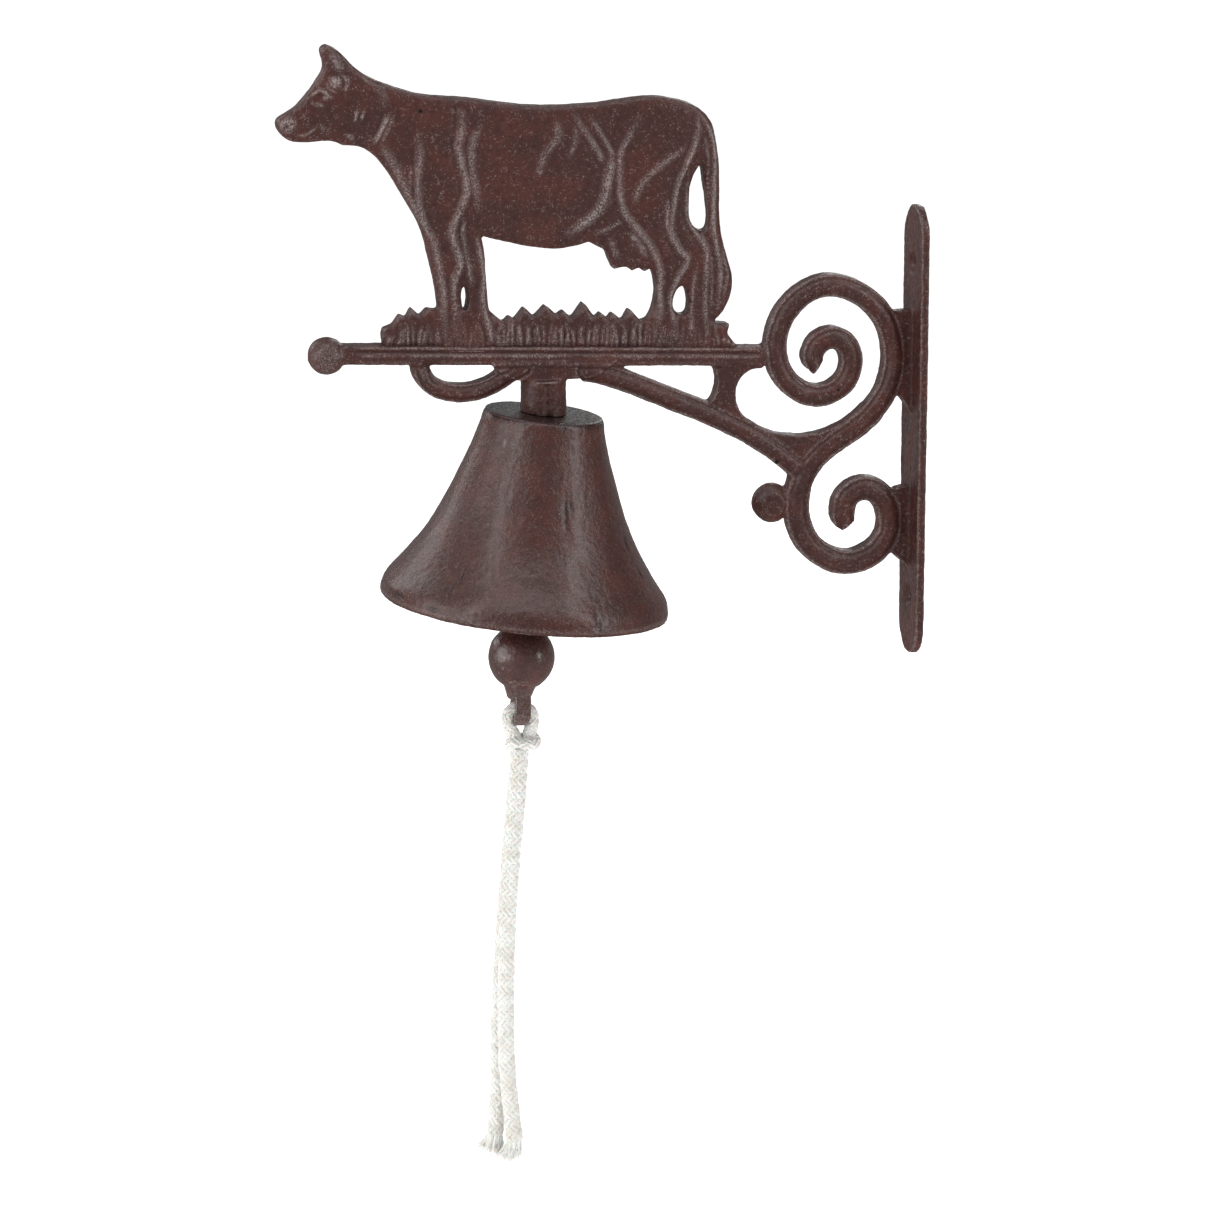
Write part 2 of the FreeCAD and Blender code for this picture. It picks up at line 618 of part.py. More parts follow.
def cord():
    lean = size("clapper_lean")
    place = leaning(LUG_PIVOT, lean)
    half = size("hitch_width") / 2
    pin = cylinder("HitchPin", place, "cord_diameter / 2", "hitch_width")
    pin.Placement = place * FreeCAD.Placement(V(-half, 0, 0), FreeCAD.Rotation(Y_AXIS, 90))
    clear = size("lug_width") / 2 + size("play")
    cheeks = []
    for name, side in (("LeftCheek", -1), ("RightCheek", 1)):
        inner = size("lug_thickness") / 2 + size("play")
        cheek = bind(doc.addObject("Part::Box", name), Width="cord_diameter")
        cheek.Length = half - inner
        cheek.Height = clear + 2
        corner = V(inner if side > 0 else -half, -size("cord_diameter") / 2, -clear - 1)
        cheek.Placement = place * FreeCAD.Placement(corner, FreeCAD.Rotation())
        cheeks.append(cheek)
    wrap = bind(doc.addObject("Part::Box", "HitchWrap"), Length="hitch_width",
                Width="hitch_depth", Height="hitch_height")
    corner = V(-half, -size("hitch_depth") / 2, -clear - size("hitch_height"))
    wrap.Placement = place * FreeCAD.Placement(corner, FreeCAD.Rotation())
    hitch = keep("cord_hitch", fused("Hitch", pin, *cheeks, wrap))
    for side, route in (("front", FRONT_LEG), ("back", BACK_LEG)):
        leg = tube(f"{side}_tube", route)
        keep(f"cord_{side}_leg", cut(f"{side}_trimmed", leg, hitch))
        keep(f"cord_{side}_tuft", tuft(f"{side}_tuft_cone", route))


wall_plate()
scrolls()
webs()
top_bar()
bar_finial()
boss_pad()
bell_boss()
braces()
scroll_bud()
grass_strip()
cow_figure()
bell()
hanger()
clapper_link()
clapper()
cord()

doc.recompute()
for obj in doc.Objects:
    if "Invalid" in obj.State or "Error" in obj.State:
        raise RuntimeError(f"{obj.Label} failed: {obj.State}")
for label, obj in nodes.items():
    shape = obj.Shape
    if shape.isNull() or not shape.isValid():
        raise RuntimeError(f"{label} has no valid shape")
    if len(shape.Solids) != 1:
        raise RuntimeError(f"{label} has {len(shape.Solids)} solids")

os.makedirs("parts", exist_ok=True)
for label, obj in nodes.items():
    obj.Shape.exportStep(os.path.join("parts", f"{label}.step"))

for name, point in (("bolt pivot", BOLT_PIVOT), ("link pivot", LINK_PIVOT),
                    ("ball centre", BALL_CENTRE), ("lug pivot", LUG_PIVOT)):
    print(name, *(round(value, 2) for value in point))
print(len(nodes), "sub-parts")
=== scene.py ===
import math
import random

import bmesh
import bpy
import numpy as np
from mathutils import Matrix, Vector, noise
from mathutils.kdtree import KDTree


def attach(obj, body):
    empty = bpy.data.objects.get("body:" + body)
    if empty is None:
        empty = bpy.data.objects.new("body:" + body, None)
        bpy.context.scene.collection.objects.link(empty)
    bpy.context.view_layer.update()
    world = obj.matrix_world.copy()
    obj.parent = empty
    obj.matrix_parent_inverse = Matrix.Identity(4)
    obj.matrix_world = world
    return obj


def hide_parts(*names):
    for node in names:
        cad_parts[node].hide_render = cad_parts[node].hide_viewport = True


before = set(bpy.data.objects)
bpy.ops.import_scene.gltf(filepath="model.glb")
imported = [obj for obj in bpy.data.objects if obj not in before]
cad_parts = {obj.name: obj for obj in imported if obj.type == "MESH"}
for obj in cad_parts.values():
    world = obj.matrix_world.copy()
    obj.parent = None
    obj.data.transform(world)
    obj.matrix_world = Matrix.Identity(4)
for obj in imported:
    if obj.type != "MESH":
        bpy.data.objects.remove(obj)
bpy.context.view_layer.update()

# Looks of the cast iron wall bell. X runs along the arm, the wall is X = 0, Z is up.
# Lengths are in metres; outlines and strokes are given in millimetres and scaled by MM.

MM = 0.001
SCENE = bpy.context.scene

# Places taken over from the part's own dimensions
CROWN = Vector((-134.65, 0, 11.8)) * MM
BELL_LEAN = 6.2
CLAPPER_LEAN = 4.2
LUG_PIVOT = Vector((-143.44, 0, -94.01)) * MM
BAR_END = Vector((-205, 0, 35.1))
BAR_RISE = 2.3
BAR_LENGTH = 151
BOSS_MIDDLE = -134.8
BOSS_HALF = 9.5
BOSS_FOOT, BOSS_TOP = 8, 23
PLATE_FRONT = -6.5
FINIAL = (-210.5, 34.5)
GRASS_START, GRASS_END = -190.0, -68
GRASS_FALL = 0.035
CORD_RADIUS = 2.95 * MM

# Camera and studio
TARGET = Vector((-0.1123, 0, -0.0586))
CAMERA_AZIMUTH = -12
CAMERA_ELEVATION = 13.5
CAMERA_DISTANCE = 1.58
LENS = 133.4
LIT_MIDDLE = Vector((-0.13, 0, 0.0))
FLOOR_HALF = 15.0
FLOOR_Z = -0.30
WORLD_STRENGTH = 0.20

# Mesh detail of the castings
BRACKET_VOXEL = 0.61 * MM
COW_VOXEL = 0.52 * MM
BALL_VOXEL = 0.36 * MM
BELL_TURNS = 420


# Meshes

def link(name, mesh):
    obj = bpy.data.objects.new(name, mesh)
    SCENE.collection.objects.link(obj)
    return obj


def mesh_object(name, points, faces):
    mesh = bpy.data.meshes.new(name)
    mesh.from_pydata([tuple(p) for p in points], [], faces)
    mesh.update()
    mesh.shade_smooth()
    return link(name, mesh)


def points_of(mesh):
    flat = np.empty(len(mesh.vertices) * 3, np.float32)
    mesh.vertices.foreach_get("co", flat)
    return flat.reshape(-1, 3).astype(float)


def set_points(mesh, points):
    mesh.vertices.foreach_set("co", points.astype(np.float32).ravel())
    mesh.update()


def normals_of(mesh):
    flat = np.empty(len(mesh.vertices) * 3, np.float32)
    mesh.vertices.foreach_get("normal", flat)
    return flat.reshape(-1, 3).astype(float)


def applied(obj):
    """obj with its modifiers turned into mesh."""
    bpy.context.view_layer.update()
    seen = obj.evaluated_get(bpy.context.evaluated_depsgraph_get())
    mesh = bpy.data.meshes.new_from_object(seen)
    obj.modifiers.clear()
    obj.data = mesh
    return obj


def smoothed(obj, passes, factor=0.5):
    smooth = obj.modifiers.new("Smooth", "SMOOTH")
    smooth.factor = factor
    smooth.iterations = passes
    return applied(obj)


def cast(name, nodes, voxel, passes):
    """One skin over several CAD nodes, with the soft edges and fillets of a casting."""
    bm = bmesh.new()
    for node in nodes:
        bm.from_mesh(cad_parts[node].data)
    bmesh.ops.remove_doubles(bm, verts=bm.verts, dist=1e-6)
    mesh = bpy.data.meshes.new(name)
    bm.to_mesh(mesh)
    bm.free()
    obj = link(name, mesh)
    remesh = obj.modifiers.new("Remesh", "REMESH")
    remesh.mode = "VOXEL"
    remesh.voxel_size = voxel
    smoothed(obj, passes)
    obj.data.shade_smooth()
    return obj


def roughened(obj, layers, seed):
    """Moves the surface in and out by noise: layers are (wavelength, height) in metres."""
    co = points_of(obj.data)
    normals = normals_of(obj.data)
    shift = Vector((seed * 7.3, seed * 3.1, seed * 5.7))
    rise = np.zeros(len(co))
    for wavelength, height in layers:
        rise += height * np.array([noise.noise(Vector(p) / wavelength + shift) for p in co])
    set_points(obj.data, co + normals * rise[:, None])
    return obj


def tubes(name, routes, sides=8):
    """One mesh of many tubes. A route is (points, radii); its ends are closed."""
    points, faces = [], []
    for line, radii in routes:
        line = [Vector(p) for p in line]
        start = len(points)
        across = None
        for i, centre in enumerate(line):
            along = (line[min(i + 1, len(line) - 1)] - line[max(i - 1, 0)]).normalized()
            if across is None:
                across = along.orthogonal().normalized()
            across = (across - along * across.dot(along)).normalized()
            other = along.cross(across)
            for k in range(sides):
                turn = 2 * math.pi * k / sides
                points.append(centre + (across * math.cos(turn) + other * math.sin(turn)) * radii[i])
        for i in range(len(line) - 1):
            for k in range(sides):
                a = start + i * sides + k
                b = start + i * sides + (k + 1) % sides
                faces.append((a, b, b + sides, a + sides))
        last = start + (len(line) - 1) * sides
        faces.append(tuple(start + k for k in reversed(range(sides))))
        faces.append(tuple(last + k for k in range(sides)))
    return mesh_object(name, points, faces)


def eased(points, steps=8):
    """A smooth line through a few given points (Catmull-Rom)."""
    p = np.array(points, float)
    p = np.vstack([2 * p[0] - p[1], p, 2 * p[-1] - p[-2]])
    line = []
    for i in range(1, len(p) - 2):
        a, b, c, d = p[i - 1:i + 3]
        for s in range(steps):
            t = s / steps
            line.append(0.5 * (2 * b + (c - a) * t + (2 * a - 5 * b + 4 * c - d) * t ** 2
                               + (3 * b - a - 3 * c + d) * t ** 3))
    line.append(p[-2])
    return np.array(line)


# Camera

def camera():
    data = bpy.data.cameras.new("camera")
    data.sensor_width = 36
    data.lens = LENS
    data.clip_start = 0.05
    obj = link("camera", data)
    obj.location = seen_from(TARGET, CAMERA_AZIMUTH, CAMERA_ELEVATION, CAMERA_DISTANCE)
    obj.rotation_euler = (TARGET - obj.location).to_track_quat("-Z", "Y").to_euler()
    SCENE.camera = obj


def seen_from(target, azimuth, elevation, distance):
    """The point at that azimuth (0 is in front, on -Y) and elevation from target."""
    az, el = math.radians(azimuth), math.radians(elevation)
    return target + distance * Vector((math.sin(az) * math.cos(el),
                                       -math.cos(az) * math.cos(el), math.sin(el)))


# Light and floor

def softbox(name, azimuth, elevation, distance, size, power):
    data = bpy.data.lights.new(name, "AREA")
    data.shape = "RECTANGLE"
    data.size, data.size_y = size
    data.energy = power
    obj = link(name, data)
    obj.location = seen_from(LIT_MIDDLE, azimuth, elevation, distance)
    obj.rotation_euler = (LIT_MIDDLE - obj.location).to_track_quat("-Z", "Y").to_euler()


def studio():
    SCENE.view_settings.view_transform = "Standard"
    world = bpy.data.worlds.new("studio")
    SCENE.world = world
    world.use_nodes = True
    back = world.node_tree.nodes["Background"]
    back.inputs["Color"].default_value = (1, 1, 1, 1)
    back.inputs["Strength"].default_value = WORLD_STRENGTH
    softbox("left_strip", CAMERA_AZIMUTH - 42, 28, 1.3, (0.26, 1.5), 6.2)
    softbox("right_strip", CAMERA_AZIMUTH + 66, 28, 1.3, (0.30, 1.5), 7.2)
    softbox("top", CAMERA_AZIMUTH + 8, 74, 1.4, (0.9, 0.9), 5)
    softbox("left_fill", CAMERA_AZIMUTH - 74, 8, 1.5, (0.7, 1.1), 6.0)
    softbox("back_left", 150, 30, 1.5, (0.5, 1.2), 4)
    softbox("back_right", -140, 30, 1.5, (0.5, 1.2), 4)

    corners = [(x * FLOOR_HALF, y * FLOOR_HALF, FLOOR_Z) for x, y in ((-1, -1), (1, -1), (1, 1), (-1, 1))]
    floor = mesh_object("floor", corners, [(0, 1, 2, 3)])
    paper = bpy.data.materials.new("floor_paper")
    paper.use_nodes = True
    shader = paper.node_tree.nodes["Principled BSDF"]
    shader.inputs["Base Color"].default_value = (0.9, 0.9, 0.9, 1)
    shader.inputs["Roughness"].default_value = 0.9
    shader.inputs["Emission Color"].default_value = (1, 1, 1, 1)
    shader.inputs["Emission Strength"].default_value = 0.90
    floor.data.materials.append(paper)
    floor.visible_glossy = False


# Materials

class Nodes:
    """A short way to write a node tree around one Principled shader."""

    def __init__(self, name):
        self.material = bpy.data.materials.new(name)
        self.material.use_nodes = True
        self.tree = self.material.node_tree
        self.shader = self.tree.nodes["Principled BSDF"]
        self.place = self.add("ShaderNodeTexCoord").outputs["Object"]

    def add(self, kind, **settings):
        node = self.tree.nodes.new(kind)
        for key, value in settings.items():
            setattr(node, key, value)
        return node

    def join(self, output, socket):
        self.tree.links.new(output, socket)

    def noise(self, wavelength, detail=3.0, roughness=0.55):
        """Grey noise with features about wavelength across, in metres."""
        node = self.add("ShaderNodeTexNoise")
        node.inputs["Scale"].default_value = 1 / wavelength
        node.inputs["Detail"].default_value = detail
        node.inputs["Roughness"].default_value = roughness
        self.join(self.place, node.inputs["Vector"])
        return node.outputs["Fac"]

    def cells(self, wavelength):
        node = self.add("ShaderNodeTexVoronoi")
        node.inputs["Scale"].default_value = 1 / wavelength
        self.join(self.place, node.inputs["Vector"])
        return node.outputs["Distance"]

    def between(self, value, low, high, to_low=0.0, to_high=1.0):
        node = self.add("ShaderNodeMapRange", clamp=True)
        node.interpolation_type = "SMOOTHSTEP"
        self.join(value, node.inputs["Value"])
        for socket, number in (("From Min", low), ("From Max", high),
                               ("To Min", to_low), ("To Max", to_high)):
            node.inputs[socket].default_value = number
        return node.outputs["Result"]

    def times(self, a, b):
        return self.combined("MULTIPLY", a, b)

    def plus(self, a, b):
        return self.combined("ADD", a, b)

    def combined(self, operation, a, b):
        node = self.add("ShaderNodeMath", operation=operation)
        for socket, value in zip(node.inputs, (a, b)):
            if isinstance(value, (int, float)):
                socket.default_value = value
            else:
                self.join(value, socket)
        return node.outputs["Value"]

    def mix(self, share, a, b):
        node = self.add("ShaderNodeMix", data_type="RGBA")
        self.join(share, node.inputs["Factor"])
        for socket, value in ((node.inputs[6], a), (node.inputs[7], b)):
            if isinstance(value, tuple):
                socket.default_value = (*value, 1)
            else:
                self.join(value, socket)
        return node.outputs[2]

    def attribute(self, name):
        return self.add("ShaderNodeAttribute", attribute_name=name).outputs["Fac"]

    def pointiness(self):
        return self.add("ShaderNodeNewGeometry").outputs["Pointiness"]

    def bump(self, height, distance, strength=1.0, under=None):
        node = self.add("ShaderNodeBump")
        node.inputs["Strength"].default_value = strength
        node.inputs["Distance"].default_value = distance
        self.join(height, node.inputs["Height"])
        if under is not None:
            self.join(under, node.inputs["Normal"])
        return node.outputs["Normal"]


def paint(name, dark, red, speck, roughness, coat, specular=0.5, speckle=0.5, pits=True, bump=1.0):
    """Satin red-brown paint over sand-cast iron: mottled, speckled, pitted, paler on its crests and darker in
    its hollows; the crests are part wear and part painted highlight, the hollows painted shade, the specks
    part chips and part painted glints.
    """
    n = Nodes(name)
    broad = n.noise(9 * MM, 4.0)
    grain = n.noise(1.7 * MM, 4.0, 0.6)
    fine = n.noise(0.55 * MM, 2.0)
    colour = n.mix(n.between(broad, 0.36, 0.68), dark, red)
    colour = n.mix(n.times(n.between(grain, 0.44, 0.30), 0.5), colour, tuple(c * 0.45 for c in dark))
    # Pale specks: part chips showing grey under the paint, part painted sparkle highlights.
    specks_and_glints = n.times(n.between(fine, 0.55, 0.68), n.between(grain, 0.42, 0.60))
    colour = n.mix(n.times(specks_and_glints, speckle), colour, speck)
    # Paler paint on convex crests: part wear, part painted highlight.
    crest = n.between(n.pointiness(), 0.515, 0.56)
    colour = n.mix(n.times(crest, n.between(fine, 0.40, 0.60, 0.10, 0.55)), colour, speck)
    # Painted shade: concave hollows are darkened towards a deep red-brown.
    painted_hollow_shade = n.between(n.pointiness(), 0.49, 0.44)
    colour = n.mix(n.times(painted_hollow_shade, 0.6), colour, tuple(c * 0.40 for c in red))
    # Paler paint where the mesh marks it: part wear, part painted highlight.
    wear_and_highlight = n.attribute("wear_and_highlight")
    colour = n.mix(n.times(wear_and_highlight, n.between(fine, 0.40, 0.58, 0.10, 1.0)), colour, speck)
    # Near black where the mesh marks it: the bell's dark marks, and the painted reflection on its crown top.
    black = n.attribute("dark")
    colour = n.mix(black, colour, (0.010, 0.006, 0.0055))
    height = n.plus(grain, n.times(fine, 0.5))
    normal = n.bump(height, 0.28 * MM * bump, 0.9)
    if pits:
        pit = n.times(n.between(n.cells(13 * MM), 0.075, 0.045), n.between(broad, 0.50, 0.56))
        colour = n.mix(pit, colour, (0.006, 0.004, 0.004))
        normal = n.bump(n.times(pit, -1.0), 0.35 * MM, 1.0, normal)
    n.join(colour, n.shader.inputs["Base Color"])
    n.join(n.between(grain, 0.3, 0.7, roughness + 0.06, roughness - 0.06), n.shader.inputs["Roughness"])
    n.join(normal, n.shader.inputs["Normal"])
    n.shader.inputs["Specular IOR Level"].default_value = specular
    n.shader.inputs["Coat Weight"].default_value = coat
    n.shader.inputs["Coat Roughness"].default_value = 0.20
    return n.material


def steel(name):
    """Dull zinc-plated steel with a little rust in its low spots."""
    n = Nodes(name)
    broad = n.noise(3 * MM, 4.0)
    fine = n.noise(0.35 * MM, 3.0)
    colour = n.mix(n.between(broad, 0.52, 0.70), (0.30, 0.29, 0.28), (0.12, 0.055, 0.03))
    colour = n.mix(n.between(fine, 0.55, 0.75), colour, (0.42, 0.41, 0.40))
    n.join(colour, n.shader.inputs["Base Color"])
    n.join(n.between(broad, 0.4, 0.7, 0.34, 0.62), n.shader.inputs["Roughness"])
    n.join(n.bump(fine, 0.04 * MM, 0.6), n.shader.inputs["Normal"])
    n.shader.inputs["Metallic"].default_value = 0.9
    return n.material


def cotton(name, shade):
    """Soft unbleached cotton."""
    n = Nodes(name)
    broad = n.noise(6 * MM, 3.0)
    fibre = n.noise(0.28 * MM, 4.0, 0.7)
    pale = tuple(min(1.0, c * 1.05) for c in shade)
    dull = tuple(c * f for c, f in zip(shade, (0.90, 0.88, 0.84)))
    colour = n.mix(n.between(broad, 0.35, 0.7), pale, dull)
    colour = n.mix(n.times(n.between(fibre, 0.5, 0.3), 0.3), colour, tuple(c * 0.72 for c in shade))
    n.join(colour, n.shader.inputs["Base Color"])
    n.join(n.bump(fibre, 0.12 * MM, 0.8), n.shader.inputs["Normal"])
    n.shader.inputs["Roughness"].default_value = 0.95
    n.shader.inputs["Specular IOR Level"].default_value = 0.2
    n.shader.inputs["Sheen Weight"].default_value = 0.25
    n.shader.inputs["Sheen Roughness"].default_value = 0.5
    n.shader.inputs["Subsurface Weight"].default_value = 0.15
    n.shader.inputs["Subsurface Scale"].default_value = 0.6 * MM
    return n.material


def dressed(obj, material, slot, body, *nodes):
    """Gives obj its material, its body and the CAD nodes it stands for; slot is not used."""
    obj.data.materials.clear()
    obj.data.materials.append(material)
    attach(obj, body)
    if nodes:
        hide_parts(*nodes)
    return obj


def set_marks(mesh, wear_and_highlight=None, dark=None):
    """How far the paint is made pale, part wear and part painted highlight, and how far it is made near
    black, at each point, from 0 to 1.
    """
    for name, values in (("wear_and_highlight", wear_and_highlight), ("dark", dark)):
        layer = mesh.attributes.new(name, "FLOAT", "POINT")
        if values is not None:
            layer.data.foreach_set("value", np.asarray(values, np.float32))


# Cord: the middle lines of its two legs, in metres

FRONT_LEG = [(-0.1440, -0.0030, -0.1074), (-0.1449, -0.0030, -0.123), (-0.1470, -0.0031, -0.143),
             (-0.1489, -0.0030, -0.166), (-0.1497, -0.0032, -0.190), (-0.1499, -0.0031, -0.213),
             (-0.1490, -0.0034, -0.235), (-0.1468, -0.0032, -0.2526)]
BACK_LEG = [(-0.1434, 0.0030, -0.1074), (-0.1446, 0.0031, -0.124), (-0.1467, 0.0030, -0.145),
            (-0.1486, 0.0032, -0.168), (-0.1502, 0.0031, -0.192), (-0.1514, 0.0034, -0.214),
            (-0.1510, 0.0031, -0.234), (-0.1528, 0.0033, -0.2520)]


def route_line(route):
    """Points along the smooth line of a route, read from its NURBS spline."""
    curve = bpy.data.curves.new("route", "CURVE")
    curve.dimensions = "3D"
    spline = curve.splines.new("NURBS")
    spline.points.add(len(route) - 1)
    for point, at in zip(spline.points, route):
        point.co = (*at, 1)
    spline.order_u = 3
    spline.use_endpoint_u = True
    spline.resolution_u = 48
    obj = link("route", curve)
    mesh = bpy.data.meshes.new_from_object(obj)
    line = [v.co.copy() for v in mesh.vertices]
    bpy.data.objects.remove(obj)
    return line


def spaced(line, step):
    """The same line with points step apart."""
    line = np.array([tuple(p) for p in line], float)
    length = np.concatenate([[0], np.cumsum(np.linalg.norm(np.diff(line, axis=0), axis=1))])
    at = np.linspace(0, length[-1], max(2, int(length[-1] / step) + 1))
    return np.stack([np.interp(at, length, line[:, k]) for k in range(3)], 1)


def framed(line):
    """Two directions across the line at each of its points, turning as little as they can."""
    along = np.gradient(line, axis=0)
    along /= np.linalg.norm(along, axis=1)[:, None]
    across = np.empty_like(line)
    side = np.array(Vector(along[0]).orthogonal().normalized())
    for i, direction in enumerate(along):
        side = side - direction * side.dot(direction)
        side /= np.linalg.norm(side)
        across[i] = side
    return across, np.cross(along, across)


def braid(line, radius, seed, carriers=8, pitch=19 * MM, ply=0.86 * MM, squeeze=None):
    """Round braid: carriers plies one way and as many the other, over and under each other."""
    rng = random.Random(seed)
    line = spaced(line, 0.5 * MM)
    across, other = framed(line)
    walked = np.concatenate([[0], np.cumsum(np.linalg.norm(np.diff(line, axis=0), axis=1))])
    wide = np.ones(len(line)) if squeeze is None else np.interp(
        np.linspace(0, 1, len(line)), np.linspace(0, 1, len(squeeze)), squeeze)
    routes = []
    for hand in (1, -1):
        for k in range(carriers):
            start = 2 * math.pi * k / carriers + rng.uniform(-0.1, 0.1)
            turn = start + hand * 2 * math.pi * walked / pitch
            over = np.cos(carriers / 2 * (hand * turn + start) + (0 if hand > 0 else math.pi))
            loose = np.array([noise.noise(Vector((w / (5 * MM), k * 3.7, hand * 5.1 + seed)))
                              for w in walked])
            reach = (radius - ply * 0.95) * wide + 0.16 * MM * over + 0.22 * MM * loose
            place = line + (across * np.cos(turn)[:, None] + other * np.sin(turn)[:, None]) * reach[:, None]
            routes.append((place, ply * (1 + 0.10 * loose) * np.ones(len(line))))
    routes.append((line, (radius - 1.3 * ply) * wide))
    return routes


def fuzz(line, radius, count, seed, reach=0.7 * MM):
    """Loose fibres that stand off a cord."""
    rng = random.Random(seed)
    line = spaced(line, 0.5 * MM)
    across, other = framed(line)
    routes = []
    for _ in range(count):
        i = rng.randrange(2, len(line) - 2)
        turn = rng.uniform(0, 2 * math.pi)
        out = across[i] * math.cos(turn) + other[i] * math.sin(turn)
        round_ = -across[i] * math.sin(turn) + other[i] * math.cos(turn)
        along = (line[i + 1] - line[i]) / np.linalg.norm(line[i + 1] - line[i])
        drift = along * rng.uniform(-1, 1) + round_ * rng.uniform(-1, 1)
        far = rng.uniform(0.3, 1.0) * reach
        points = [line[i] + out * (radius * 0.8 + far * s) + drift * far * s * rng.uniform(0.7, 1.6)
                  for s in (0.0, 0.5, 1.0)]
        routes.append((points, [0.05 * MM, 0.045 * MM, 0.02 * MM]))
    return routes


def frayed(line, seed, length, spread, lean, plies=16, fibres=150):
    """The end of a leg, where its plies and fibres fan out and curl."""
    rng = random.Random(seed)
    line = spaced(line, 0.5 * MM)
    across, other = framed(line)
    end = line[-1]
    down = (line[-1] - line[-3]) / np.linalg.norm(line[-1] - line[-3])
    start = end - down * 2.0 * MM
    lean = np.array(lean)
    routes = []
    for k in range(plies + fibres):
        thick = k < plies
        turn = rng.uniform(0, 2 * math.pi)
        inner = math.sqrt(rng.random()) * (2.2 if thick else 2.6) * MM
        out = across[-1] * math.cos(turn) + other[-1] * math.sin(turn)
        reach = length * rng.uniform(0.72, 1.0) * (1 if thick else rng.uniform(0.8, 1.08))
        fan = spread * rng.uniform(0.35, 1.0)
        curl = rng.uniform(-0.6, 0.6)
        side = -across[-1] * math.sin(turn) + other[-1] * math.cos(turn)
        points, radii = [], []
        for s in np.linspace(0, 1, 7):
            flare = (inner + (fan - inner) * s ** 1.6)
            swirl = side * curl * spread * 0.4 * math.sin(math.pi * s)
            points.append(start + down * (reach + 2.0 * MM) * (s - 0.12 * s ** 3)
                          + out * flare + swirl + lean * s ** 2)
            radii.append((0.62 if thick else 0.13) * MM * (1 - 0.45 * s ** 3))
        routes.append((points, radii))
    return routes


def in_lug(x, y, z):
    """A point given in the lug's own leaning frame, in millimetres."""
    return LUG_PIVOT + Matrix.Rotation(math.radians(CLAPPER_LEAN), 3, "Y") @ (Vector((x, y, z)) * MM)


HITCH_LOOP = [(-0.4, 0, -12.0), (-1.6, 0, -9.6), (-3.4, 0, -6.8), (-4.2, 0, -3.6), (-3.7, 0, -1.0),
              (-2.0, 0, 0.3), (0, 0, 0.6), (2.0, 0, 0.3), (4.0, 0, -1.0), (4.6, 0, -3.6),
              (4.3, 0, -6.8), (3.6, 0, -9.6), (3.2, 0, -12.0)]


def cord():
    rope = cotton("cotton_cord", (0.75, 0.735, 0.705))
    # Painted lightness: the frayed ends get a lighter copy of the cord's cotton, to offset the shade between
    # their loose fibres.
    lightened_fray_cotton = cotton("frayed_cotton", (0.93, 0.925, 0.90))

    loop = [in_lug(*p) for p in eased(HITCH_LOOP, 6)]
    squeeze = [1.0, 0.95, 0.9, 0.82, 0.80, 0.82, 0.9, 0.95, 1.0]
    routes = braid(loop, 2.45 * MM, 5, pitch=16 * MM, ply=0.74 * MM, squeeze=squeeze)
    ring = []
    for i in range(41):
        turn = 2 * math.pi * i / 40
        x, y = 4.0 * math.cos(turn), 3.3 * math.sin(turn)
        ring.append(in_lug(x + 1.7, y, -11.9 + 0.18 * x + 0.4 * math.sin(2 * turn)))
    routes += braid(ring, 2.45 * MM, 9, pitch=15 * MM, ply=0.76 * MM)
    routes += fuzz(loop, 2.4 * MM, 120, 21) + fuzz(ring, 2.3 * MM, 120, 22)
    hitch = dressed(tubes("cord_knot", routes, 6), rope, "cotton_cord", "cord", "cord_hitch")

    legs = (("front", FRONT_LEG, 3, (-3.5, 0, -0.5), hitch), ("back", BACK_LEG, 4, (-1.0, 0.4, 0), None))
    for side, route, seed, lean, knot in legs:
        line = route_line(route)
        leg = tubes(f"{side}_leg", braid(line, CORD_RADIUS, seed) + fuzz(line, 2.7 * MM, 420, seed + 30), 6)
        dressed(leg, rope, "cotton_cord", "cord", f"cord_{side}_leg")
        fan = frayed(line, seed + 50, 8.6 * MM, 5.2 * MM, [v * MM for v in lean], 26, 420)
        tuft = dressed(tubes(f"{side}_tuft", fan, 6), lightened_fray_cotton, "frayed_cotton", "cord", f"cord_{side}_tuft")
